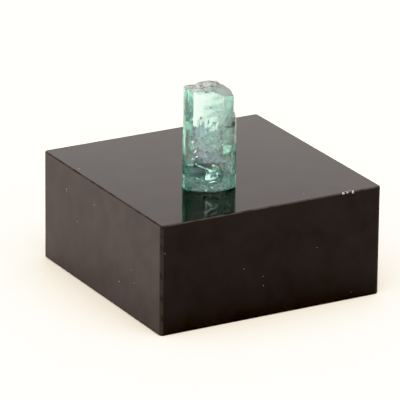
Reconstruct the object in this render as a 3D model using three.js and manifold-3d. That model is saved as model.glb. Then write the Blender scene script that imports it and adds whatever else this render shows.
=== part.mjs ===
// A loose indicolite tourmaline crystal standing on a small polished black acrylic display block.
// Millimetres, +Z up. The origin is the centre of the block's underside.
import * as THREE from "three";
import { mergeVertices } from "three/addons/utils/BufferGeometryUtils.js";
import Module from "manifold-3d";

const wasm = await Module();
wasm.setup();

// Display block: a square of 12 mm sheet with its upright edges eased and its long edges just broken.
const block = { side: 26, height: 12, cornerRadius: 0.4, edgeBreak: 0.12 };

// Crystal: where its axis stands on the block, how far it is turned, and its driving sizes.
const stand = { x: -3.01, y: -4.96, turn: THREE.MathUtils.degToRad(-29.3) };
const prism = {
  width: 5.54,
  depth: 3.3,
  height: 11.1,
  topScale: 0.985, // the prism narrows a little upwards
  striationPitch: 0.13,
  striationDepth: 0.01,
  broadSide: 1.3, // a side longer than this counts as broad
  broadCalm: 0.3, // share of the striation depth on the broad sides
};

// The prism's cross-section is a flattened, rounded triangle with its ridge at the back. These are its
// corners as shares of half the width and half the depth, counter-clockwise from the left corner; the
// broad front face looks along -Y.
const sectionCorners = [
  [-1, -0.09],
  [-0.95, -0.33],
  [-0.83, -0.56],
  [-0.7, -0.75],
  [-0.61, -0.84],
  [-0.07, -1],
  [0.18, -0.98],
  [0.52, -0.73],
  [0.79, -0.36],
  [0.94, -0.15],
  [1, 0.06],
  [0.97, 0.21],
  [0.83, 0.36],
  [-0.05, 1],
  [-0.65, 0.49],
  [-0.87, 0.18],
  [-0.97, 0.08],
];

// Repeatable numbers from 0 to 1.
function seeded(seed) {
  let state = seed;
  return () => {
    state = (state * 1103515245 + 12345) % 2147483648;
    return state / 2147483648;
  };
}

function solidFrom(geometry) {
  const bare = geometry.index ? geometry.toNonIndexed() : geometry.clone();
  bare.deleteAttribute("normal");
  bare.deleteAttribute("uv");
  const merged = mergeVertices(bare, 1e-4);
  return new wasm.Manifold(
    new wasm.Mesh({
      numProp: 3,
      vertProperties: merged.attributes.position.array,
      triVerts: new Uint32Array(merged.index.array),
    }),
  );
}

function geometryFrom(solid) {
  const { vertProperties, triVerts } = solid.getMesh();
  const geometry = new THREE.BufferGeometry();
  geometry.setAttribute("position", new THREE.BufferAttribute(vertProperties, 3));
  geometry.setIndex(new THREE.BufferAttribute(triVerts, 1));
  return geometry;
}

// Walks the section's sides and moves points in and out by a little, which makes the upright striations.
// They are shallower on the broad sides.
function striatedSection() {
  const random = seeded(11);
  const corners = sectionCorners.map(
    ([x, y]) => new THREE.Vector2((x * prism.width) / 2, (y * prism.depth) / 2),
  );
  const points = [];
  corners.forEach((corner, i) => {
    const next = corners[(i + 1) % corners.length];
    const side = next.clone().sub(corner);
    const outward = new THREE.Vector2(side.y, -side.x).normalize();
    const count = Math.max(1, Math.round(side.length() / prism.striationPitch));
    const depth = prism.striationDepth * (side.length() > prism.broadSide ? prism.broadCalm : 1);
    points.push(corner);
    for (let k = 1; k < count; k += 1) {
      const along = (k + 0.5 * (random() - 0.5)) / count;
      const out = (random() - 0.65) * depth * (k % 2 ? 1.6 : 0.4);
      points.push(corner.clone().addScaledVector(side, along).addScaledVector(outward, out));
    }
  });
  return points;
}

// The prism runs past its finished height, so that the break can be cut from it.
function prismSolid() {
  const spare = 1.5;
  const height = prism.height + spare;
  const geometry = new THREE.ExtrudeGeometry(new THREE.Shape(striatedSection()), {
    depth: height,
    steps: 1,
    bevelEnabled: false,
  });
  const position = geometry.attributes.position;
  for (let i = 0; i < position.count; i += 1) {
    const scale = 1 - ((1 - prism.topScale) * position.getZ(i)) / prism.height;
    position.setX(i, position.getX(i) * scale);
    position.setY(i, position.getY(i) * scale);
  }
  return solidFrom(geometry);
}

// Smooth random lumps from -1 to 1, with one repeatable value at each point of a square lattice.
function lumps(seed, pitch) {
  const random = seeded(seed);
  const count = 48;
  const heights = Array.from({ length: count * count }, () => 2 * random() - 1);
  const heightAt = (column, row) => heights[(column + count / 2) * count + row + count / 2];
  return (x, y) => {
    const column = Math.floor(x / pitch);
    const row = Math.floor(y / pitch);
    const blendX = THREE.MathUtils.smoothstep(x / pitch - column, 0, 1);
    const blendY = THREE.MathUtils.smoothstep(y / pitch - row, 0, 1);
    const near = THREE.MathUtils.lerp(heightAt(column, row), heightAt(column + 1, row), blendX);
    const far = THREE.MathUtils.lerp(heightAt(column, row + 1), heightAt(column + 1, row + 1), blendX);
    return THREE.MathUtils.lerp(near, far, blendY);
  };
}

const swells = lumps(3, 0.9);
const grains = lumps(8, 0.3);

// Turns a smooth height into treads and risers.
function terraced(height, riser) {
  const tread = Math.floor(height / riser);
  return riser * (tread + THREE.MathUtils.smoothstep(height / riser - tread, 0.3, 0.7));
}

// Height of the broken top above the crystal's foot, in the crystal's own X (right) and Y (back).
function brokenTop(x, y) {
  const front = -prism.depth / 2 + 0.24 * Math.abs(x + 0.2);
  const middle = Math.exp(-(((x + 0.1) / 1.2) ** 4));
  const hump = 0.05 * THREE.MathUtils.smoothstep(y - front, 1.3, 1.9) * middle;
  const leftDrop = 0.12 * THREE.MathUtils.smoothstep(-x, 0.6, 2.2);
  const rightDrop = 0.3 * THREE.MathUtils.smoothstep(x, 0.5, 1.2);
  const rimDrop = 0.2 * (1 - THREE.MathUtils.smoothstep(y - front, 0.04, 0.3));
  const rough = 0.1 * swells(x, y) + 0.07 * grains(x, y);
  return prism.height - leftDrop - rightDrop - rimDrop + terraced(hump + rough, 0.12);
}

// What lies above the broken top: a slab whose underside follows it.
function topCutter() {
  const size = 7;
  const cells = 64;
  const thickness = 4;
  const geometry = new THREE.BoxGeometry(size, size, thickness, cells, cells, 1);
  geometry.translate(0, 0, prism.height + thickness / 2);
  const position = geometry.attributes.position;
  for (let i = 0; i < position.count; i += 1) {
    if (position.getZ(i) < prism.height + thickness / 4) {
      position.setZ(i, brokenTop(position.getX(i), position.getY(i)));
    }
  }
  return solidFrom(geometry);
}

// A shell-shaped fracture: a many-sided ball, stretched, turned and set where it bites.
function scoop({ at, radii, turn = 0, detail = 3 }) {
  const geometry = new THREE.IcosahedronGeometry(1, detail);
  geometry.scale(...radii).rotateZ(turn).translate(...at);
  return solidFrom(geometry);
}

// A flat flake off an edge: a tilted box, set where it bites.
function flake({ at, size, tilt }) {
  const geometry = new THREE.BoxGeometry(...size);
  geometry.applyMatrix4(new THREE.Matrix4().makeRotationFromEuler(new THREE.Euler(...tilt)));
  geometry.translate(...at);
  return solidFrom(geometry);
}

// The larger breaks, in the crystal's own frame.
function largeBreaks() {
  return [
    // The broad shell-shaped break that slopes down to the front right of the top.
    scoop({ at: [3.28, -1.16, 14.96], radii: [5, 5, 5], detail: 15 }),
    // The steep flake off the top right corner.
    flake({ at: [3.14, 0.3, 10.71], size: [2, 3.4, 3], tilt: [0, -0.48, 0.1] }),
    // The long flake off the right edge, which runs out in a slanting ledge a third of the way down.
    flake({ at: [3.54, 0.1, 9.9], size: [2, 3.4, 3.6], tilt: [0.03, 0.03, -0.12] }),
    flake({ at: [3.6, 0.1, 8.1], size: [2, 3.4, 1.6], tilt: [0.1, -0.28, -0.1] }),
    // Two pits and a short crack under that ledge.
    scoop({ at: [2.72, -0.22, 7.04], radii: [0.22, 0.24, 0.17], detail: 1 }),
    scoop({ at: [2.64, -0.32, 6.72], radii: [0.2, 0.26, 0.13], detail: 1 }),
    scoop({ at: [2.2, -0.64, 6.76], radii: [0.4, 0.12, 0.07], turn: 0.68, detail: 1 }),
    // The pit in the front rim where the two levels of the top meet.
    scoop({ at: [-0.16, -1.66, 10.9], radii: [0.17, 0.2, 0.14], turn: 0.2, detail: 1 }),
  ];
}

// Small chips along the foot, the top rim and the upright edges.
function smallChips() {
  const random = seeded(5);
  const chips = [];
  const chip = (share, z, reach) => {
    const corner = sectionCorners[Math.floor(share * sectionCorners.length)];
    const scale = (1 - ((1 - prism.topScale) * z) / prism.height) * (1 + 0.3 * reach);
    const at = [(corner[0] * prism.width * scale) / 2, (corner[1] * prism.depth * scale) / 2, z];
    const size = [reach * 2, reach * (1.4 + random()), reach * (1 + random())];
    chips.push(flake({ at, size, tilt: [3 * random(), 3 * random(), 3 * random()] }));
  };
  for (let k = 0; k < 12; k += 1) chip((k + random()) / 12, 0, 0.06 + 0.1 * random());
  for (let k = 0; k < 10; k += 1) chip((k + random()) / 10, 10.8 + 0.25 * random(), 0.1 + 0.14 * random());
  for (let k = 0; k < 12; k += 1) chip((k + random()) / 12, 1 + 8.5 * random(), 0.05 + 0.07 * random());
  return chips;
}

function makeCrystal(material) {
  let solid = prismSolid().subtract(topCutter());
  for (const bite of [...largeBreaks(), ...smallChips()]) solid = solid.subtract(bite);
  const geometry = geometryFrom(solid.simplify(0.006));
  geometry.rotateZ(stand.turn).translate(stand.x, stand.y, block.height);
  const mesh = new THREE.Mesh(geometry, material);
  mesh.name = "tourmaline_crystal";
  return mesh;
}

// Nicks along the block's edges: the place of each on the edge, and its size.
function blockNicks() {
  const half = block.side / 2;
  const frontTop = [[8.4, 0.26], [8.9, 0.22], [9.6, 0.3], [4.1, 0.2], [-7.2, 0.12]];
  const leftTop = [[11.5, 0.18], [10.6, 0.14], [8, 0.16], [6.1, 0.22], [3, 0.18], [-0.1, 0.16], [-10, 0.2]];
  const leftFoot = [[7.3, 0.24], [-3.5, 0.2]];
  const nick = (at, size) => {
    const tilt = [0.7 + size, 0.6, at[0] + at[1]];
    return flake({ at, size: [size, size * 1.3, size], tilt });
  };
  return [
    ...frontTop.map(([x, size]) => nick([x, -half, block.height], size)),
    ...leftTop.map(([y, size]) => nick([-half, y, block.height], size)),
    ...leftFoot.map(([y, size]) => nick([-half, y, 0], size)),
  ];
}

function makeBlock(material) {
  const half = block.side / 2 - block.edgeBreak;
  const radius = block.cornerRadius - block.edgeBreak;
  const outline = new THREE.Shape();
  outline.moveTo(half - radius, -half);
  outline.absarc(half - radius, -half + radius, radius, -Math.PI / 2, 0);
  outline.absarc(half - radius, half - radius, radius, 0, Math.PI / 2);
  outline.absarc(-half + radius, half - radius, radius, Math.PI / 2, Math.PI);
  outline.absarc(-half + radius, -half + radius, radius, Math.PI, 1.5 * Math.PI);
  const slab = new THREE.ExtrudeGeometry(outline, {
    depth: block.height - 2 * block.edgeBreak,
    curveSegments: 6,
    bevelThickness: block.edgeBreak,
    bevelSize: block.edgeBreak,
    bevelSegments: 1,
  });
  slab.translate(0, 0, block.edgeBreak);
  let solid = solidFrom(slab);
  for (const bite of blockNicks()) solid = solid.subtract(bite);
  const mesh = new THREE.Mesh(geometryFrom(solid), material);
  mesh.name = "display_block";
  return mesh;
}

const tourmaline = new THREE.MeshStandardMaterial({
  color: 0x8fc2ae,
  roughness: 0.08,
  metalness: 0,
  transparent: true,
  opacity: 0.6,
});
const blackAcrylic = new THREE.MeshStandardMaterial({ color: 0x1c1715, roughness: 0.08, metalness: 0 });

const specimen = new THREE.Group();
specimen.add(makeBlock(blackAcrylic), makeCrystal(tourmaline));
export default specimen;
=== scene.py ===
import math
import random
import bmesh
import bpy
from mathutils import Euler, Matrix, Vector, noise
from mathutils.bvhtree import BVHTree


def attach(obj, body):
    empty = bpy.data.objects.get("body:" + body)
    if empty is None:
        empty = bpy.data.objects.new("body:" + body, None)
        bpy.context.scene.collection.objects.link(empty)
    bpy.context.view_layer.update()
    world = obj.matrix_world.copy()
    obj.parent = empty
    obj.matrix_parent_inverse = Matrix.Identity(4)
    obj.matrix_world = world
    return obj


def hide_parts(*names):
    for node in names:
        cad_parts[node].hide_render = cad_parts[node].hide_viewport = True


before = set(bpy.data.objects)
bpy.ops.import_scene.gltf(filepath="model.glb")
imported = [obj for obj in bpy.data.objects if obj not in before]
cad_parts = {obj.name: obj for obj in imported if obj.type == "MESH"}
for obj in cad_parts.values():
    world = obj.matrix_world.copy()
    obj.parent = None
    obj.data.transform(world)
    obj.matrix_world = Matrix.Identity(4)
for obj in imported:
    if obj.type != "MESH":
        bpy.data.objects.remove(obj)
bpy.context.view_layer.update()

mm = 0.001
mergeReach = 0.0004 * mm    # joins the corners of the CAD's loose triangles
scene = bpy.context.scene
print("frame loaded:", ", ".join(sorted(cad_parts)))


# sRGB hex to the linear numbers that shaders take
def linear(hexColour):
    channels = [int(hexColour[i:i + 2], 16) / 255 for i in (1, 3, 5)]
    return tuple(c / 12.92 if c <= 0.04045 else ((c + 0.055) / 1.055) ** 2.4 for c in channels)


# one shader node with its settings (properties or socket values) and the sockets linked into it
def addNode(tree, kind, settings=None, links=None):
    node = tree.nodes.new(kind)
    for name, value in (settings or {}).items():
        if isinstance(name, int) or name in node.inputs:
            socket = node.inputs[name]
            socket.default_value = (*value, 1) if socket.type == "RGBA" and len(value) == 3 else value
        else:
            setattr(node, name, value)
    for name, source in (links or {}).items():
        tree.links.new(source, node.inputs[name])
    return node


def newMaterial(name):
    material = bpy.data.materials.new(name)
    material.use_nodes = True
    material.node_tree.nodes.clear()
    return material, material.node_tree


# a finished bmesh becomes an object whose place is in its mesh
def makePiece(name, bm, materials):
    mesh = bpy.data.meshes.new(name)
    bm.to_mesh(mesh)
    bm.free()
    for material in materials:
        mesh.materials.append(material)
    piece = bpy.data.objects.new(name, mesh)
    scene.collection.objects.link(piece)
    return piece


# a merged copy of a CAD node's mesh
def copyOfNode(name):
    bm = bmesh.new()
    bm.from_mesh(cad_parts[name].data)
    bmesh.ops.remove_doubles(bm, verts=bm.verts, dist=mergeReach)
    for face in bm.faces:
        face.smooth = False
    return bm


# the camera stands to the front and left of the block, a little above it, with a long lens
view = {
    "place": (-207.24, -366.85, 163.12),    # mm
    "azimuth": -29.313,                     # degrees, as are the next two
    "elevation": 20.163,
    "roll": 0.602,
    "lens": 384.46,                         # mm, on a sensor this wide:
    "sensor": 36,
    "nearest": 10,                          # mm, nothing nearer is drawn
}
azimuth, elevation, roll = (math.radians(view[key]) for key in ("azimuth", "elevation", "roll"))
camera = bpy.data.objects.new("camera", bpy.data.cameras.new("camera"))
scene.collection.objects.link(camera)
camera.data.sensor_width = view["sensor"]
camera.data.lens = view["lens"]
camera.data.clip_start = view["nearest"] * mm
camera.matrix_world = (
    Matrix.Translation(Vector(view["place"]) * mm)
    @ Matrix.Rotation(azimuth, 4, "Z")
    @ Matrix.Rotation(math.pi / 2 - elevation, 4, "X")
    @ Matrix.Rotation(roll, 4, "Z")
)
scene.camera = camera

# plain sRGB, with deep blacks and whites that roll off softly: the curve pairs a brightness in the scene
# with what is shown for it
tone = {
    "black": 0.025,
    "brightest": 1.5,
    "curve": [(0.15, 0.15), (0.4, 0.4), (0.68, 0.685), (0.92, 0.89), (1.12, 0.975), (1.28, 0.998)],
}
scene.view_settings.view_transform = "Standard"
scene.view_settings.use_curve_mapping = True
mapping = scene.view_settings.curve_mapping
mapping.black_level = [tone["black"]] * 3
mapping.white_level = [tone["brightest"]] * 3
for bright, shown in tone["curve"]:
    mapping.curves[3].points.new(bright / tone["brightest"], shown)
mapping.update()
# enough bounces for light to cross the cracks
scene.cycles.use_denoising = True
scene.cycles.max_bounces = 40
scene.cycles.transmission_bounces = 40
scene.cycles.glossy_bounces = 12
scene.cycles.transparent_max_bounces = 16

# Heights are the upward part of a direction, from 0 at the horizon to 1 overhead. Sides say how near it
# is to the panel behind, from 1 there to -1 on the camera's side.
studio = {
    "hall": "#938d8a",                # the room beyond the lamps
    "hallLight": 0.8,
    "overheadLight": 1.42,            # a broad softbox straight above
    "overheadHeights": (0.5, 0.72),
    "towardsPanel": (0.489, 0.872, 0),
    "panelLight": 1.86,               # a narrow lit panel behind, brightest at its foot
    "panelSides": (0.966, 0.992),
    "panelHeights": (0.43, 0.27),
    "fillLight": 0.95,                # a broad soft panel on the camera's side
    "fillSides": (0.2, -0.6),
    "tint": "#fff7f3",
    "fillTint": "#fff3e4",            # warmer
    "farFloor": "#fffaf3",
    "farFloorLight": 1.25,
}
world = bpy.data.worlds.new("studio")
scene.world = world
world.use_nodes = True
tree = world.node_tree
tree.nodes.clear()
direction = addNode(tree, "ShaderNodeTexCoord")
upDown = addNode(tree, "ShaderNodeSeparateXYZ", links={0: direction.outputs["Generated"]})
overhead = addNode(tree, "ShaderNodeMapRange",
                   {"interpolation_type": "SMOOTHSTEP", "From Min": studio["overheadHeights"][0],
                    "From Max": studio["overheadHeights"][1], "To Max": studio["overheadLight"]},
                   {"Value": upDown.outputs["Z"]})
flat = addNode(tree, "ShaderNodeVectorMath", {"operation": "MULTIPLY", 1: (1, 1, 0)},
               {0: direction.outputs["Generated"]})
compass = addNode(tree, "ShaderNodeVectorMath", {"operation": "NORMALIZE"}, {0: flat.outputs[0]})
behind = addNode(tree, "ShaderNodeVectorMath", {"operation": "DOT_PRODUCT", 1: studio["towardsPanel"]},
                 {0: compass.outputs[0]})
panelWidth = addNode(tree, "ShaderNodeMapRange",
                     {"interpolation_type": "SMOOTHSTEP", "From Min": studio["panelSides"][0],
                      "From Max": studio["panelSides"][1]},
                     {"Value": behind.outputs["Value"]})
panelHeight = addNode(tree, "ShaderNodeMapRange",
                      {"From Min": studio["panelHeights"][0], "From Max": studio["panelHeights"][1],
                       "To Max": studio["panelLight"]},
                      {"Value": upDown.outputs["Z"]})
panel = addNode(tree, "ShaderNodeMath", {"operation": "MULTIPLY"},
                {0: panelWidth.outputs[0], 1: panelHeight.outputs[0]})
fill = addNode(tree, "ShaderNodeMapRange",
               {"interpolation_type": "SMOOTHSTEP", "From Min": studio["fillSides"][0],
                "From Max": studio["fillSides"][1], "To Max": studio["fillLight"]},
               {"Value": behind.outputs["Value"]})
lamps = addNode(tree, "ShaderNodeMath", {"operation": "ADD"},
                {0: overhead.outputs[0], 1: panel.outputs[0]})
lampColour = addNode(tree, "ShaderNodeBackground", {"Color": linear(studio["tint"])},
                     {"Strength": lamps.outputs[0]})
fillColour = addNode(tree, "ShaderNodeBackground", {"Color": linear(studio["fillTint"])},
                     {"Strength": fill.outputs[0]})
lit = addNode(tree, "ShaderNodeAddShader", links={0: lampColour.outputs[0], 1: fillColour.outputs[0]})
hallColour = addNode(tree, "ShaderNodeBackground",
                     {"Color": linear(studio["hall"]), "Strength": studio["hallLight"]})
both = addNode(tree, "ShaderNodeAddShader", links={0: lit.outputs[0], 1: hallColour.outputs[0]})
# below the horizon the floor goes on past the card
farFloor = addNode(tree, "ShaderNodeBackground",
                   {"Color": linear(studio["farFloor"]), "Strength": studio["farFloorLight"]})
belowHorizon = addNode(tree, "ShaderNodeMath", {"operation": "LESS_THAN", 1: 0.0},
                       {0: upDown.outputs["Z"]})
whole = addNode(tree, "ShaderNodeMixShader",
                links={0: belowHorizon.outputs[0], 1: both.outputs[0], 2: farFloor.outputs[0]})
addNode(tree, "ShaderNodeOutputWorld", links={"Surface": whole.outputs[0]})

# matte white card: even and very bright, with the faintest mottle of paper fibre
floorCard = {
    "colour": "#f8f5ec",
    "halfSize": 4000,     # mm
    "fibre": 0.6,         # mm
    "mottle": 0.985,      # the darkest fibre beside the lightest
    "roughness": 0.9,
    "sheen": 0.1,         # a fifth of what smooth card reflects
}
material, tree = newMaterial("matte white card")
place = addNode(tree, "ShaderNodeTexCoord")
fibres = addNode(tree, "ShaderNodeTexNoise", {"Scale": 1 / (floorCard["fibre"] * mm), "Detail": 3.0},
                 {"Vector": place.outputs["Object"]})
mottle = addNode(tree, "ShaderNodeMapRange", {"To Min": floorCard["mottle"]},
                 {"Value": fibres.outputs[0]})
shade = addNode(tree, "ShaderNodeMix", {"data_type": "RGBA", "blend_type": "MULTIPLY", "Factor": 1.0,
                                        6: linear(floorCard["colour"])}, {7: mottle.outputs[0]})
body = addNode(tree, "ShaderNodeBsdfPrincipled",
               {"Roughness": floorCard["roughness"], "Specular IOR Level": floorCard["sheen"]},
               {"Base Color": shade.outputs[2]})
addNode(tree, "ShaderNodeOutputMaterial", links={"Surface": body.outputs[0]})
bm = bmesh.new()
bmesh.ops.create_grid(bm, x_segments=1, y_segments=1, size=floorCard["halfSize"] * mm)
floor = makePiece("floor", bm, [material])
print("camera, studio light and floor made")


# Cast acrylic, dyed black: the sheet's own face on top is polished like a mirror under a film of dust,
# and the sides are sawn and sanded to a satin. Over their sanding dust, the left and right sides have
# a painted reflection that makes them lighter than the front. The edges are scuffed, which greys them in
# places, and their grey is partly a painted highlight.
block = {
    "colour": "#0e0c12",
    "topFilm": "#181514",              # what the film of dust on the top adds
    "sideDustAndSheen": "#281f25",             # sanding dust in the left and right sides' satin, and painted reflection
    "edge": "#3d3736",                 # sanded edges, greyer than the faces, partly a painted highlight
    "scuff": "#272221",                # dark nicks along them
    "chipGlint": "#bdb8b5",              # chips on the top front edge, painted pale as glints
    "ior": 1.49,
    "sheen": 0.295,                    # the reflection that the film leaves, where 0.5 is all
    "topRoughness": 0.03,
    "topHaze": 2.2,                    # times rougher where the dust is thickest
    "sideRoughness": 0.32,
    "sideVaries": 0.04,
    "edgeRoughness": 0.6,
    "chipRoughness": 0.5,
    "sawPitch": 0.3,                   # mm between the blade's lines
    "sawDepth": 0.003,                 # mm
    "sawStretch": 0.04,                # draws the noise out into upright lines
    "sawLean": (0.05, -0.06, 0),       # radians off upright
    "cloud": 3,                        # mm, the size of a cloud in the dust
    "clouded": (0.6, 1.4),             # the dust where it is thinnest and thickest
    "scuffSize": 1.1,                  # mm
    "scuffFrom": (0.5, 0.62),          # noise values where a scuff starts and is full
    "uprightEdges": 0.55,              # how much of the edge's grey and highlight upright edges have
    "topFacing": (0.9, 0.98),          # how squarely a face of the top faces up
    "sawnFacing": 0.9,                 # the left and right sides, to the side
    "edgeFacing": 0.97,                # an edge faces no way as squarely as this
    "topEdgeFacing": (0.2, 0.5),
    "halfWidth": 13,                   # mm, as the CAD's
    "height": 12,                      # mm
    "edgeWidth": 0.4,                  # mm
    "chipGlintPlaces": (8.43, 8.93, 9.57),  # mm along the top front edge
    "chipReach": 0.11,                 # mm to each side
}
acrylic, tree = newMaterial("cast black acrylic, polished top and sanded sides")
place = addNode(tree, "ShaderNodeTexCoord")
surface = addNode(tree, "ShaderNodeNewGeometry")
facing = addNode(tree, "ShaderNodeSeparateXYZ", links={0: surface.outputs["True Normal"]})
topMask = addNode(tree, "ShaderNodeMapRange",
                  {"From Min": block["topFacing"][0], "From Max": block["topFacing"][1]},
                  {"Value": facing.outputs["Z"]})
sideways = addNode(tree, "ShaderNodeMath", {"operation": "ABSOLUTE"}, {0: facing.outputs["X"]})
sideDustAndSheenMask = addNode(tree, "ShaderNodeMath", {"operation": "GREATER_THAN", 1: block["sawnFacing"]},
                   {0: sideways.outputs[0]})
frontways = addNode(tree, "ShaderNodeMath", {"operation": "ABSOLUTE"}, {0: facing.outputs["Y"]})
flatSide = addNode(tree, "ShaderNodeMath", {"operation": "MAXIMUM"},
                   {0: sideways.outputs[0], 1: frontways.outputs[0]})
flatAny = addNode(tree, "ShaderNodeMath", {"operation": "MAXIMUM"},
                  {0: flatSide.outputs[0], 1: facing.outputs["Z"]})
edgeMask = addNode(tree, "ShaderNodeMath", {"operation": "LESS_THAN", 1: block["edgeFacing"]},
                   {0: flatAny.outputs[0]})
# each side gets lines across its own width
sawPlace = addNode(tree, "ShaderNodeMapping",
                   {"Rotation": block["sawLean"], "Scale": (1, 1, block["sawStretch"])},
                   {"Vector": place.outputs["Object"]})
sawLines = addNode(tree, "ShaderNodeTexNoise", {"Scale": 1 / (block["sawPitch"] * mm), "Detail": 4.0},
                   {"Vector": sawPlace.outputs[0]})
cloud = addNode(tree, "ShaderNodeTexNoise",
                {"Scale": 1 / (block["cloud"] * mm), "Detail": 8.0, "Distortion": 0.6},
                {"Vector": place.outputs["Object"]})
uneven = addNode(tree, "ShaderNodeMapRange",
                 {"From Min": 0.3, "From Max": 0.7,
                  "To Min": block["clouded"][0], "To Max": block["clouded"][1]},
                 {"Value": cloud.outputs[0]})
topRough = addNode(tree, "ShaderNodeMapRange",
                   {"From Min": 0.35, "From Max": 0.75, "To Min": block["topRoughness"],
                    "To Max": block["topRoughness"] * block["topHaze"]},
                   {"Value": cloud.outputs[0]})
sideRough = addNode(tree, "ShaderNodeMapRange",
                    {"To Min": block["sideRoughness"] - block["sideVaries"],
                     "To Max": block["sideRoughness"] + block["sideVaries"]},
                    {"Value": sawLines.outputs[0]})
flatRough = addNode(tree, "ShaderNodeMix", {"data_type": "FLOAT"},
                    {0: topMask.outputs[0], 2: sideRough.outputs[0], 3: topRough.outputs[0]})
rough = addNode(tree, "ShaderNodeMix", {"data_type": "FLOAT", 3: block["edgeRoughness"]},
                {0: edgeMask.outputs[0], 2: flatRough.outputs[0]})
offTop = addNode(tree, "ShaderNodeMath", {"operation": "SUBTRACT", 0: 1.0}, {1: topMask.outputs[0]})
ridges = addNode(tree, "ShaderNodeBump", {"Distance": block["sawDepth"] * mm},
                 {"Height": sawLines.outputs[0], "Strength": offTop.outputs[0]})
# painted reflection: the left and right sides get a lighter colour than the front, with their dust
sideDustAndSheenShade = addNode(tree, "ShaderNodeMix", {"data_type": "RGBA", 6: linear(block["colour"]),
                                             7: linear(block["sideDustAndSheen"])}, {0: sideDustAndSheenMask.outputs[0]})
dustyShade = addNode(tree, "ShaderNodeMix", {"data_type": "RGBA", 7: linear(block["topFilm"])},
                     {0: topMask.outputs[0], 6: sideDustAndSheenShade.outputs[2]})
cloudedShade = addNode(tree, "ShaderNodeMix", {"data_type": "RGBA", "blend_type": "MULTIPLY", 0: 1.0},
                       {6: dustyShade.outputs[2], 7: uneven.outputs[0]})
scuffs = addNode(tree, "ShaderNodeTexNoise", {"Scale": 1 / (block["scuffSize"] * mm), "Detail": 5.0},
                 {"Vector": place.outputs["Object"]})
scuffed = addNode(tree, "ShaderNodeMapRange",
                  {"From Min": block["scuffFrom"][0], "From Max": block["scuffFrom"][1]},
                  {"Value": scuffs.outputs[0]})
# the edges' grey is sanding wear and a painted highlight, which edges facing up get in full
edgeGreyAndHighlight = addNode(tree, "ShaderNodeMix", {"data_type": "RGBA", 6: linear(block["edge"]),
                                            7: linear(block["scuff"])}, {0: scuffed.outputs[0]})
upwardEdgeHighlight = addNode(tree, "ShaderNodeMapRange",
                  {"From Min": block["topEdgeFacing"][0], "From Max": block["topEdgeFacing"][1],
                   "To Min": block["uprightEdges"]},
                  {"Value": facing.outputs["Z"]})
edgeGreyAndHighlightAmount = addNode(tree, "ShaderNodeMath", {"operation": "MULTIPLY"},
                     {0: edgeMask.outputs[0], 1: upwardEdgeHighlight.outputs[0]})
shade = addNode(tree, "ShaderNodeMix", {"data_type": "RGBA"},
                {0: edgeGreyAndHighlightAmount.outputs[0], 6: cloudedShade.outputs[2], 7: edgeGreyAndHighlight.outputs[2]})
body = addNode(tree, "ShaderNodeBsdfPrincipled",
               {"IOR": block["ior"], "Specular IOR Level": block["sheen"]},
               {"Base Color": shade.outputs[2], "Roughness": rough.outputs[0],
                "Normal": ridges.outputs[0]})
addNode(tree, "ShaderNodeOutputMaterial", links={"Surface": body.outputs[0]})

# the same acrylic at chips on the top front edge, painted pale and dull as the glints on them
chipGlint, tree = newMaterial("cast black acrylic, freshly chipped so that tiny cracks whiten it")
body = addNode(tree, "ShaderNodeBsdfPrincipled",
               {"Base Color": linear(block["chipGlint"]), "Roughness": block["chipRoughness"]})
addNode(tree, "ShaderNodeOutputMaterial", links={"Surface": body.outputs[0]})

bm = copyOfNode("display_block")
# painted glints: faces of the top front edge at the chips take the pale second material
for face in bm.faces:
    middle = face.calc_center_median() / mm
    offEdge = max(abs(middle.y + block["halfWidth"]), abs(middle.z - block["height"]))
    offChip = min(abs(middle.x - x) for x in block["chipGlintPlaces"])
    if offEdge < block["edgeWidth"] and offChip < block["chipReach"]:
        face.material_index = 1
blockPiece = makePiece("black_acrylic_block", bm, [acrylic, chipGlint])
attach(blockPiece, "root")
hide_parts("display_block")

# Grains of pale dust that lie on the block's sides and top: flattened bits a tenth of a millimetre
# across, each with its place on the face and its radius in mm.
dust = {
    "colour": "#a69c97",
    "roughness": 0.9,
    "thickness": 0.35,    # as a share of the radius
    "left": [(7.73, 9.31, 0.09), (7.7, 9.05, 0.06), (1.53, 9.59, 0.08), (5.34, 6.48, 0.07),
             (-6.74, 5.14, 0.06), (-4.01, 2.96, 0.08), (-7.3, 3.92, 0.06), (7.9, 0.1, 0.08),
             (-2.7, 0.1, 0.09)],
    "front": [(-12.56, 9.0, 0.04), (-3.31, 5.69, 0.04), (-0.99, 4.45, 0.03), (-0.97, 3.44, 0.04),
              (5.36, 6.51, 0.04), (9.6, 0.81, 0.03)],
    "top": [(-12.38, 6.19, 0.08), (4.65, -11.25, 0.06)],
}
dusty, tree = newMaterial("house dust, matte pale grains")
body = addNode(tree, "ShaderNodeBsdfPrincipled",
               {"Base Color": linear(dust["colour"]), "Roughness": dust["roughness"]})
addNode(tree, "ShaderNodeOutputMaterial", links={"Surface": body.outputs[0]})
grains = [((-block["halfWidth"], y, z), 0, reach) for y, z, reach in dust["left"]]
grains += [((x, -block["halfWidth"], z), 1, reach) for x, z, reach in dust["front"]]
grains += [((x, y, block["height"]), 2, reach) for x, y, reach in dust["top"]]
bm = bmesh.new()
for at, axis, reach in grains:
    grain = bmesh.ops.create_icosphere(bm, subdivisions=1, radius=reach * mm)["verts"]
    flatten = [1.0, 1.0, 1.0]
    flatten[axis] = dust["thickness"]
    bmesh.ops.scale(bm, verts=grain, vec=flatten)
    bmesh.ops.translate(bm, verts=grain, vec=Vector(at) * mm)
dustPiece = makePiece("dust_grains", bm, [dusty])
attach(dustPiece, "root")
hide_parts("display_block")
print("block made")


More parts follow.
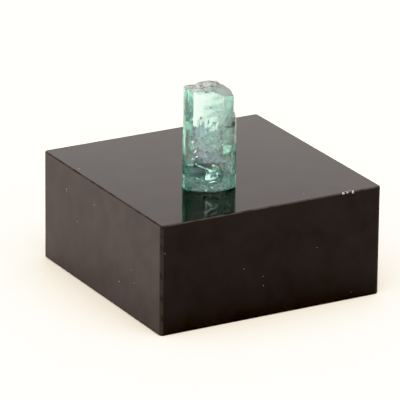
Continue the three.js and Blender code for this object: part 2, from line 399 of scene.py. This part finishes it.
# Tourmaline: clear crystal that reflects a little more than glass. Its prism faces are glossy and finely
# grooved upright, its broken ends are rough, and its colour builds up with the thickness of stone.
crystal = {
    "ior": 1.63,
    "faceRoughness": 0.015,
    "breakRoughness": 0.45,
    "wornFoot": 0.4,                 # the foot is this much as rough
    "absorption": 145,               # per metre, of the most absorbed colour
    "passes": (0.0, 0.86, 0.68),     # what share of it each colour is spared
    "axis": (-3.01, -4.96, 12),      # mm, the middle of the foot on the block
    "turn": -29.3,                   # degrees
    "footZone": 12.1,                # mm above the floor, below which its downward faces are the foot
    "footRests": 12.01,              # mm above the floor, below which the foot touches the block
    "footGap": 0.02,                 # mm of air that is put there
    "topZone": (21.6, 21.8),         # mm above the floor, where the broken top starts
    "topFacing": (0.15, 0.35),       # how squarely its faces face up
    "footFacing": -0.8,              # and the foot's
    "groovePitch": 0.09,             # mm
    "grooveDepth": 0.003,            # mm
    "grooveStretch": 0.015,          # draws the noise out into upright grooves
    "growthPitch": 0.34,             # mm, of the coarser growth lines beside the two front edges
    "growthDepth": 0.03,             # mm
    "growthFrom": (1.6, 2.1),        # mm from the middle
    "breakPitch": 0.5,               # mm, of the steps and shells of the broken top
    "breakDepth": 0.16,              # mm
    "crushed": (0.12, 0.3),          # share white with crushed crystal, on the chip and on the rest
    "freshBreak": "#f5fdfc",         # the broken top, a little green
    "stain": "#7d6a5f",              # iron brown in the cracks of the top
    "stainPitch": 0.7,               # mm
    "stainWidth": (0.06, 0.01),      # noise values from a vein's edge to its middle
    "stainEnds": (1.1, 0.5),         # mm, where the smooth chip ends it
}
tourmaline, tree = newMaterial("tourmaline, clear blue-green")
place = addNode(tree, "ShaderNodeTexCoord")
height = addNode(tree, "ShaderNodeSeparateXYZ", links={0: place.outputs["Object"]})
surface = addNode(tree, "ShaderNodeNewGeometry")
facing = addNode(tree, "ShaderNodeSeparateXYZ", links={0: surface.outputs["True Normal"]})
high = addNode(tree, "ShaderNodeMapRange",
               {"From Min": crystal["topZone"][0] * mm, "From Max": crystal["topZone"][1] * mm},
               {"Value": height.outputs["Z"]})
upward = addNode(tree, "ShaderNodeMapRange",
                 {"From Min": crystal["topFacing"][0], "From Max": crystal["topFacing"][1]},
                 {"Value": facing.outputs["Z"]})
topBreak = addNode(tree, "ShaderNodeMath", {"operation": "MULTIPLY"},
                   {0: high.outputs[0], 1: upward.outputs[0]})
low = addNode(tree, "ShaderNodeMath", {"operation": "LESS_THAN", 1: crystal["footZone"] * mm},
              {0: height.outputs["Z"]})
downward = addNode(tree, "ShaderNodeMath", {"operation": "LESS_THAN", 1: crystal["footFacing"]},
                   {0: facing.outputs["Z"]})
foot = addNode(tree, "ShaderNodeMath", {"operation": "MULTIPLY"},
               {0: low.outputs[0], 1: downward.outputs[0]})
wornFoot = addNode(tree, "ShaderNodeMath", {"operation": "MULTIPLY", 1: crystal["wornFoot"]},
                   {0: foot.outputs[0]})
broken = addNode(tree, "ShaderNodeMath", {"operation": "MAXIMUM"},
                 {0: topBreak.outputs[0], 1: wornFoot.outputs[0]})
roughness = addNode(tree, "ShaderNodeMapRange",
                    {"To Min": crystal["faceRoughness"], "To Max": crystal["breakRoughness"]},
                    {"Value": broken.outputs[0]})
grainPlace = addNode(tree, "ShaderNodeMapping", {"Scale": (1, 1, crystal["grooveStretch"])},
                     {"Vector": place.outputs["Object"]})
grooves = addNode(tree, "ShaderNodeTexNoise",
                  {"Scale": 1 / (crystal["groovePitch"] * mm), "Detail": 3.0},
                  {"Vector": grainPlace.outputs[0]})
grooveBump = addNode(tree, "ShaderNodeBump", {"Distance": crystal["grooveDepth"] * mm, "Strength": 1.0},
                     {"Height": grooves.outputs[0]})
# the coarser growth lines keep off the middle of the front and back
ownPlace = addNode(tree, "ShaderNodeMapping",
                   {"vector_type": "TEXTURE", "Location": tuple(c * mm for c in crystal["axis"]),
                    "Rotation": (0, 0, math.radians(crystal["turn"]))},
                   {"Vector": place.outputs["Object"]})
ownAxes = addNode(tree, "ShaderNodeSeparateXYZ", links={0: ownPlace.outputs[0]})
acrossWidth = addNode(tree, "ShaderNodeMath", {"operation": "ABSOLUTE"}, {0: ownAxes.outputs["X"]})
offMiddle = addNode(tree, "ShaderNodeMapRange",
                    {"From Min": crystal["growthFrom"][0] * mm, "From Max": crystal["growthFrom"][1] * mm},
                    {"Value": acrossWidth.outputs[0]})
growth = addNode(tree, "ShaderNodeTexNoise",
                 {"Scale": 1 / (crystal["growthPitch"] * mm), "Detail": 1.0},
                 {"Vector": grainPlace.outputs[0]})
growthBump = addNode(tree, "ShaderNodeBump", {"Distance": crystal["growthDepth"] * mm},
                     {"Height": growth.outputs[0], "Strength": offMiddle.outputs[0],
                      "Normal": grooveBump.outputs[0]})
shells = addNode(tree, "ShaderNodeTexNoise",
                 {"Scale": 1 / (crystal["breakPitch"] * mm), "Detail": 5.0, "Distortion": 1.2},
                 {"Vector": place.outputs["Object"]})
breakBump = addNode(tree, "ShaderNodeBump", {"Distance": crystal["breakDepth"] * mm},
                    {"Height": shells.outputs[0], "Strength": topBreak.outputs[0],
                     "Normal": growthBump.outputs[0]})
# iron brown runs along the top's cracks, as thin winding lines
veinPlace = addNode(tree, "ShaderNodeMapping", {"Rotation": (0, 0, 0.5), "Scale": (0.5, 1, 2.0)},
                    {"Vector": place.outputs["Object"]})
veins = addNode(tree, "ShaderNodeTexNoise",
                {"Scale": 1 / (crystal["stainPitch"] * mm), "Detail": 4.0, "Distortion": 0.8},
                {"Vector": veinPlace.outputs[0]})
fromVein = addNode(tree, "ShaderNodeMath", {"operation": "SUBTRACT", 1: 0.5}, {0: veins.outputs[0]})
toVein = addNode(tree, "ShaderNodeMath", {"operation": "ABSOLUTE"}, {0: fromVein.outputs[0]})
inVein = addNode(tree, "ShaderNodeMapRange",
                 {"From Min": crystal["stainWidth"][0], "From Max": crystal["stainWidth"][1]},
                 {"Value": toVein.outputs[0]})
# but not on the smooth chip at the front right
fromChip = addNode(tree, "ShaderNodeMath", {"operation": "MULTIPLY_ADD", 1: -0.8},
                   {0: ownAxes.outputs["Y"], 2: ownAxes.outputs["X"]})
offChip = addNode(tree, "ShaderNodeMapRange",
                  {"From Min": crystal["stainEnds"][0] * mm, "From Max": crystal["stainEnds"][1] * mm},
                  {"Value": fromChip.outputs[0]})
veinsHere = addNode(tree, "ShaderNodeMath", {"operation": "MULTIPLY"},
                    {0: offChip.outputs[0], 1: topBreak.outputs[0]})
stained = addNode(tree, "ShaderNodeMath", {"operation": "MULTIPLY"},
                  {0: inVein.outputs[0], 1: veinsHere.outputs[0]})
unstained = addNode(tree, "ShaderNodeMix",
                    {"data_type": "RGBA", 6: (1, 1, 1), 7: linear(crystal["freshBreak"])},
                    {0: topBreak.outputs[0]})
tintOfFace = addNode(tree, "ShaderNodeMix", {"data_type": "RGBA", 7: linear(crystal["stain"])},
                     {0: stained.outputs[0], 6: unstained.outputs[2]})
crushedHere = addNode(tree, "ShaderNodeMapRange",
                      {"To Min": crystal["crushed"][0], "To Max": crystal["crushed"][1]},
                      {"Value": veinsHere.outputs[0]})
whitened = addNode(tree, "ShaderNodeMath", {"operation": "MULTIPLY"},
                   {0: crushedHere.outputs[0], 1: topBreak.outputs[0]})
clearness = addNode(tree, "ShaderNodeMath", {"operation": "SUBTRACT", 0: 1.0}, {1: whitened.outputs[0]})
body = addNode(tree, "ShaderNodeBsdfPrincipled", {"IOR": crystal["ior"]},
               {"Base Color": tintOfFace.outputs[2], "Transmission Weight": clearness.outputs[0],
                "Roughness": roughness.outputs[0], "Normal": breakBump.outputs[0]})
stain = addNode(tree, "ShaderNodeVolumeAbsorption",
                {"Color": crystal["passes"], "Density": crystal["absorption"]})
addNode(tree, "ShaderNodeOutputMaterial", links={"Surface": body.outputs[0], "Volume": stain.outputs[0]})

# from the crystal's own frame (X right, Y back, Z up from its foot, in mm) to the part's
crystalPlace = (
    Matrix.Translation(Vector(crystal["axis"]) * mm)
    @ Matrix.Rotation(math.radians(crystal["turn"]), 4, "Z")
    @ Matrix.Scale(mm, 4)
)
skin = copyOfNode("tourmaline_crystal")
skinTree = BVHTree.FromBMesh(skin)
skin.free()


# How far a point of the part's frame lies under the crystal's skin, in metres. It is inside if the first
# face straight above it is one that a line leaves the crystal through.
def depthInside(point):
    distance = skinTree.find_nearest(point)[3]
    above, normal, _, _ = skinTree.ray_cast(point, Vector((0, 0, 1)))
    return distance if above and normal.z > 0 else -distance


# A thin closed lens in the crystal's frame: a flattened ball, bowed and with an uneven edge. It shrinks
# where it would come out of the crystal. Turned inside out it is an air-filled crack, whose faces mirror
# the light.
lens = {
    "uneven": 0.35,        # how far its edge wanders, as a share of its size
    "edgeCells": 1.6,      # noise cells along half the lens, for the edge
    "waveCells": 1.7,      # noise cells to a millimetre, for the waves
    "underSkin": 0.06,     # mm, the least depth
    "shrink": 0.88,        # at each try to reach that depth
    "tries": 24,
}
balls = {}


def addLens(bm, at, size, tilt=(0, 0, 0), bow=0.0, waves=0.0, thickness=0.01, divisions=3, seed=0,
            spin=0, hollow=False, density=0.0, mauve=0.0, dark=0.0):
    if divisions not in balls:
        ball = bmesh.new()
        bmesh.ops.create_icosphere(ball, subdivisions=divisions, radius=1)
        balls[divisions] = bpy.data.meshes.new("ball")
        ball.to_mesh(balls[divisions])
        ball.free()
    firstVertex, firstFace = len(bm.verts), len(bm.faces)
    bm.from_mesh(balls[divisions])
    bm.verts.ensure_lookup_table()
    bm.faces.ensure_lookup_table()
    shift = Vector((seed * 7.3, seed * 3.1, seed * 5.7))    # another part of the noise for each seed
    turn = Euler([math.radians(angle) for angle in tilt]).to_matrix().to_4x4()
    turn = turn @ Matrix.Rotation(math.radians(spin), 4, "Z")
    place = crystalPlace @ Matrix.Translation(Vector(at)) @ turn
    droplets = bm.verts.layers.float_vector.get("droplets")
    for vertex in bm.verts[firstVertex:]:
        p = vertex.co.copy()
        fromMiddle = p.x ** 2 + p.y ** 2
        edge = 1 + lens["uneven"] * noise.noise(Vector((p.x, p.y, 0)) * lens["edgeCells"] + shift)
        for _ in range(lens["tries"]):
            x = p.x * size[0] * edge
            y = p.y * size[1] * edge
            ripple = waves * noise.noise(Vector((x, y, 0)) * lens["waveCells"] + shift)
            vertex.co = place @ Vector((x, y, p.z * thickness + bow * fromMiddle + ripple))
            if depthInside(vertex.co) > lens["underSkin"] * mm:
                break
            edge *= lens["shrink"]
        else:    # the lens's own middle is too near the skin, so the point is pushed in
            nearest, outwards, _, _ = skinTree.find_nearest(vertex.co)
            vertex.co = nearest - outwards * lens["underSkin"] * mm
        if droplets:
            vertex[droplets] = (density * (1 - fromMiddle), mauve, dark)
    if hollow:
        for face in bm.faces[firstFace:]:
            face.normal_flip()


# Air-filled cracks inside the crystal: their places, half lengths and half widths, and bows in mm, and
# their tilts and their turns in their own planes in degrees.
cracks = {
    "thickness": 0.012,    # mm
    "waves": 0.05,         # mm
    "list": [
        {"at": (0.35, -0.8, 1.75), "size": (0.9, 0.8), "tilt": (48, 0, -64), "bow": 0.015},
        {"at": (0.35, -0.75, 1.9), "size": (0.55, 0.5), "tilt": (46, 0, 62), "bow": 0.015},
        {"at": (0.45, -0.8, 1.4), "size": (0.5, 0.4), "tilt": (24, 0, -60), "bow": 0.01},
        {"at": (0.0, -0.9, 2.1), "size": (0.6, 0.4), "tilt": (50, 0, 58), "bow": 0.01},
        {"at": (0.72, -0.7, 2.2), "size": (0.3, 0.75), "tilt": (48, 0, 62), "bow": 0.01},
        {"at": (-0.8, -0.8, 2.6), "size": (0.85, 0.1), "tilt": (48, 0, 62), "spin": -32},
        {"at": (-0.8, -0.8, 1.15), "size": (0.8, 0.09), "tilt": (48, 0, 62), "spin": -32, "bow": 0.02},
        {"at": (0.3, -0.8, 0.95), "size": (0.7, 0.08), "tilt": (48, 0, 62), "spin": -5, "bow": 0.02},
        {"at": (0.7, -0.7, 0.35), "size": (1.0, 0.07), "tilt": (48, 0, 62), "spin": -8, "bow": 0.03},
        {"at": (-0.9, -0.7, 0.4), "size": (1.0, 0.07), "tilt": (48, 0, 62), "spin": -36, "bow": 0.03},
        {"at": (-1.55, -0.7, 5.2), "size": (0.22, 0.4), "tilt": (48, 0, -64), "bow": 0.01},
        {"at": (-1.95, -0.5, 4.65), "size": (0.07, 0.35), "tilt": (32, 0, -8), "spin": -25},
        {"at": (-1.65, -0.55, 4.6), "size": (0.07, 0.35), "tilt": (32, 0, -8), "spin": -25},
        {"at": (-1.35, -0.6, 5.5), "size": (0.08, 0.45), "tilt": (32, 0, -8), "spin": -15},
        {"at": (-1.15, -0.6, 6.1), "size": (0.06, 0.4), "tilt": (32, 0, -8), "spin": -10},
        {"at": (-1.9, -0.5, 2.6), "size": (0.07, 0.3), "tilt": (32, 0, -8), "spin": 10},
        {"at": (-0.1, -0.8, 3.6), "size": (0.3, 0.15), "tilt": (48, 0, -62), "bow": 0.01},
        {"at": (0.6, -0.6, 3.15), "size": (0.25, 0.2), "tilt": (48, 0, 62), "bow": 0.01},
        {"at": (0.95, -0.7, 5.3), "size": (0.3, 0.2), "tilt": (48, 0, 62), "bow": 0.01},
        {"at": (0.05, 0.2, 6.9), "size": (0.6, 0.6), "tilt": (48, 0, -64)},
        {"at": (0.7, 0.0, 8.4), "size": (0.3, 0.2), "tilt": (3, 4, 0), "bow": 0.03},
        {"at": (0.2, 0.1, 7.9), "size": (0.4, 0.25), "tilt": (-4, -3, 0), "bow": 0.02},
        {"at": (1.5, -0.1, 6.9), "size": (0.6, 0.3), "tilt": (4, -3, 0), "bow": 0.03},
        {"at": (-1.6, -0.68, 4.45), "size": (0.17, 0.26), "tilt": (48, 0, -64)},
        {"at": (-1.42, -0.72, 4.2), "size": (0.15, 0.24), "tilt": (46, 0, -62)},
        {"at": (-1.25, -0.8, 3.65), "size": (0.2, 0.12), "tilt": (50, 0, -66)},
        {"at": (-1.55, -0.7, 3.35), "size": (0.14, 0.16), "tilt": (48, 0, -60)},
        {"at": (-1.68, -0.66, 2.75), "size": (0.25, 0.08), "tilt": (48, 0, -64)},
        {"at": (-1.3, -0.78, 2.85), "size": (0.14, 0.12), "tilt": (46, 0, -66)},
        {"at": (1.3, -0.55, 4.9), "size": (0.2, 0.15), "tilt": (48, 0, 62)},
        {"at": (1.4, -0.5, 3.1), "size": (0.3, 0.1), "tilt": (48, 0, 62)},
    ],
}
flaws = bmesh.new()
for seed, crack in enumerate(cracks["list"]):
    addLens(flaws, thickness=cracks["thickness"], waves=cracks["waves"], seed=seed, hollow=True, **crack)

# Small voids, scattered about a wavy upright sheet. Lengths are in mm and angles in degrees.
voids = {
    "tries": 900,
    "lowest": 1.0,             # above the foot
    "rise": 9,
    "middle": 0.3,             # right of the crystal's middle
    "lean": 0.05,              # to the right, for each mm up
    "spread": 0.9,
    "behind": 0.25,            # the crystal's middle
    "wave": 0.35,
    "waveUp": 1.3,             # radians for each mm up
    "waveAcross": 0.6,         # and for each mm to the right
    "scatter": 0.12,
    "sides": 1.9,              # none lie farther to the side
    "depth": 1.25,             # nor farther to the front or back, less
    "taper": 0.5,              # this much for each mm to the side
    "clear": (-0.2, 6.2),      # nor both left of the first and above the second
    "reach": (0.02, 0.07),     # the smallest, and how much more the largest has
    "narrow": 0.7,             # width as a share of the length
    "flat": 0.2,               # and thickness
    "tumble": 35,
}
dice = random.Random(4)
for k in range(voids["tries"]):
    z = voids["lowest"] + voids["rise"] * dice.random()
    x = dice.gauss(voids["middle"] + voids["lean"] * z, voids["spread"])
    wave = voids["wave"] * math.sin(voids["waveUp"] * z + voids["waveAcross"] * x)
    y = voids["behind"] + wave + dice.gauss(0, voids["scatter"])
    tooNear = abs(x) > voids["sides"] or abs(y) > voids["depth"] - voids["taper"] * abs(x)
    if tooNear or (x < voids["clear"][0] and z > voids["clear"][1]):
        continue
    reach = voids["reach"][0] + voids["reach"][1] * dice.random() ** 2
    tumbled = [dice.gauss(0, voids["tumble"]) for _ in range(3)]
    addLens(flaws, (x, y, z), (reach, reach * voids["narrow"]), tumbled,
            thickness=reach * voids["flat"], divisions=1, seed=k, hollow=True)
flawMesh = bpy.data.meshes.new("flaws")
flaws.to_mesh(flawMesh)
flaws.free()
bm = copyOfNode("tourmaline_crystal")
for vertex in bm.verts:
    if vertex.co.z < crystal["footRests"] * mm:
        vertex.co.z += crystal["footGap"] * mm
bm.from_mesh(flawMesh)
crystalPiece = makePiece("tourmaline_prism", bm, [tourmaline])
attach(crystalPiece, "root")
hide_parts("tourmaline_crystal")
print("crystal made:", len(crystalPiece.data.polygons), "faces")

# Healed fractures: sheets of fluid droplets too fine to tell apart, so they look like a pale haze. Each
# is given as the cracks are, with how dense, how mauve and how dark it is. Its sheets wander at random
# from its place, unless it is dark.
veils = {
    "pale": "#eefcff",
    "mauve": "#e0ddff",
    "dark": "#1d2b26",         # dark specks and streaks; in the right edge's step, painted shade and dirt
    "roughness": 0.8,
    "clot": 0.35,              # mm, the size of a clot of droplets
    "clotFrom": (0.4, 0.6),    # noise values where a clot starts and is full
    "clotStretch": 0.6,        # makes clots longer upright than across
    "waves": 0.5,              # mm
    "layers": 3,               # sheets in each veil
    "grow": 1.25,              # the first sheet is this much of the size given,
    "lessen": 0.3,             # and each next one this much less
    "wander": 0.18,            # as a share of the size
    "deep": 0.3,               # mm, counted as the size from front to back
    "wanderTilt": 7,           # degrees
    "haze": (0.25, 1.15),      # the cover between clots and on them
    "list": [
        {"at": (-0.85, 0.0, 6.4), "size": (0.45, 1.1), "tilt": (82, 0, 8), "density": 0.6, "mauve": 0.6},
        {"at": (-1.35, -0.6, 6.3), "size": (0.3, 0.8), "tilt": (84, 8, 10), "density": 0.5, "mauve": 0.4},
        {"at": (-0.6, -0.7, 6.9), "size": (0.15, 1.0), "tilt": (84, -4, 0), "density": 0.5, "mauve": 0.7},
        {"at": (0.9, -0.4, 6.5), "size": (0.3, 0.8), "tilt": (84, 5, 10), "density": 0.5, "mauve": 0.1},
        {"at": (-0.7, -0.6, 5.3), "size": (0.75, 1.4), "tilt": (60, 18, 15), "density": 1.8, "mauve": 0.25},
        {"at": (-0.5, -0.6, 3.9), "size": (1.0, 0.9), "tilt": (58, 0, -10), "density": 1.2, "mauve": 0.5},
        {"at": (-0.5, 0.3, 4.9), "size": (1.1, 1.0), "tilt": (75, 0, 5), "density": 0.5, "mauve": 0.2},
        {"at": (0.25, -0.5, 5.5), "size": (0.8, 1.1), "tilt": (60, 0, 0), "density": 1.1, "mauve": 0.1},
        {"at": (0.6, -0.3, 3.3), "size": (1.1, 0.5), "tilt": (70, 0, 0), "density": 0.4, "mauve": 0.2},
        {"at": (-0.9, -0.2, 2.2), "size": (1.2, 0.5), "tilt": (75, 0, -10), "density": 0.2, "mauve": 0.3},
        {"at": (1.6, 0.0, 7.2), "size": (0.9, 2.8), "tilt": (86, 0, 25), "density": 0.25, "mauve": 0.0},
        {"at": (0.7, 0.2, 8.2), "size": (1.2, 2.0), "tilt": (86, 0, -5), "density": 0.3, "mauve": 0.4},
        {"at": (1.75, -0.1, 2.1), "size": (0.8, 1.1), "tilt": (70, 5, 10), "density": 0.6, "mauve": 0.0},
        {"at": (0.2, 0.2, 0.9), "size": (2.2, 0.6), "tilt": (60, 0, 0), "density": 0.5, "mauve": 0.0},
        {"at": (0.0, -0.8, 0.35), "size": (2.1, 0.35), "tilt": (60, 0, 0), "density": 0.75, "mauve": 0.0},
        {"at": (-1.9, -0.1, 0.9), "size": (0.7, 0.8), "tilt": (70, 0, -20), "density": 0.2, "mauve": 0.0},
        {"at": (-1.5, 0.1, 3.0), "size": (0.8, 0.9), "tilt": (85, 0, -20), "density": 0.15, "mauve": 0.1},
        {"at": (-2.15, -0.3, 4.8), "size": (0.25, 1.8), "tilt": (85, 0, -30), "density": 0.35, "dark": 0.5},
        {"at": (-0.6, 0.0, 10.6), "size": (2.1, 1.3), "tilt": (4, 0, 6), "density": 0.3, "mauve": 0.4,
         "bow": -0.1},
        {"at": (1.3, -0.1, 10.2), "size": (1.3, 1.1), "tilt": (10, 12, 0), "density": 0.3, "mauve": 0.2},
        {"at": (-2.2, -0.35, 9.2), "size": (0.17, 1.8), "tilt": (90, 0, -30), "density": 0.25, "dark": 0.5},
        {"at": (0.1, -0.9, 9.0), "size": (0.12, 0.1), "tilt": (60, 0, 0), "density": 0.7, "dark": 1.0},
        {"at": (-0.85, -0.9, 7.9), "size": (0.1, 0.16), "tilt": (80, 0, 0), "density": 0.7, "dark": 1.0},
        {"at": (-0.35, -0.9, 10.75), "size": (0.14, 0.1), "tilt": (80, 0, 0), "density": 0.7, "dark": 1.0},
        # painted shade with dirt: a dark pocket in the step on the right edge
        {"at": (2.45, -0.1, 6.95), "size": (0.3, 0.32), "tilt": (80, 0, 60), "density": 2.0, "dark": 1.0},
        {"at": (1.95, -0.4, 6.75), "size": (0.4, 0.08), "tilt": (60, -8, 0), "density": 1.5, "dark": 1.0},
    ],
}
haze, tree = newMaterial("tourmaline, healed fractures full of fine droplets")
place = addNode(tree, "ShaderNodeTexCoord")
amounts = addNode(tree, "ShaderNodeAttribute", {"attribute_name": "droplets"})
amount = addNode(tree, "ShaderNodeSeparateXYZ", links={0: amounts.outputs["Vector"]})
drawnOut = addNode(tree, "ShaderNodeMapping", {"Scale": (1, 1, veils["clotStretch"])},
                   {"Vector": place.outputs["Object"]})
clots = addNode(tree, "ShaderNodeTexNoise",
                {"Scale": 1 / (veils["clot"] * mm), "Detail": 7.0, "Roughness": 0.66},
                {"Vector": drawnOut.outputs[0]})
patchy = addNode(tree, "ShaderNodeMapRange",
                 {"From Min": veils["clotFrom"][0], "From Max": veils["clotFrom"][1],
                  "To Min": veils["haze"][0], "To Max": veils["haze"][1]},
                 {"Value": clots.outputs[0]})
cover = addNode(tree, "ShaderNodeMath", {"operation": "MULTIPLY", "use_clamp": True},
                {0: patchy.outputs[0], 1: amount.outputs["X"]})
shade = addNode(tree, "ShaderNodeMix",
                {"data_type": "RGBA", 6: linear(veils["pale"]), 7: linear(veils["mauve"])},
                {0: amount.outputs["Y"]})
speckled = addNode(tree, "ShaderNodeMix", {"data_type": "RGBA", 7: linear(veils["dark"])},
                   {0: amount.outputs["Z"], 6: shade.outputs[2]})
body = addNode(tree, "ShaderNodeBsdfPrincipled",
               {"Roughness": veils["roughness"], "Specular IOR Level": 0.0},
               {"Base Color": speckled.outputs[2], "Alpha": cover.outputs[0]})
addNode(tree, "ShaderNodeOutputMaterial", links={"Surface": body.outputs[0]})
bm = bmesh.new()
bm.verts.layers.float_vector.new("droplets")
dice = random.Random(9)
for seed, veil in enumerate(veils["list"]):
    for layer in range(veils["layers"]):
        here = dict(veil)
        if not veil.get("dark"):
            room = (veil["size"][0], veils["deep"], veil["size"][1])
            here["at"] = [c + dice.gauss(0, veils["wander"]) * r for c, r in zip(veil["at"], room)]
            here["tilt"] = [angle + dice.gauss(0, veils["wanderTilt"]) for angle in veil["tilt"]]
            here["size"] = [c * (veils["grow"] - veils["lessen"] * layer) for c in veil["size"]]
        addLens(bm, divisions=4, waves=veils["waves"], seed=seed + 20 * (layer + 1), **here)
veilPiece = makePiece("healed_fractures", bm, [haze])
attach(veilPiece, "root")
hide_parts("tourmaline_crystal")
print("healed fractures made")
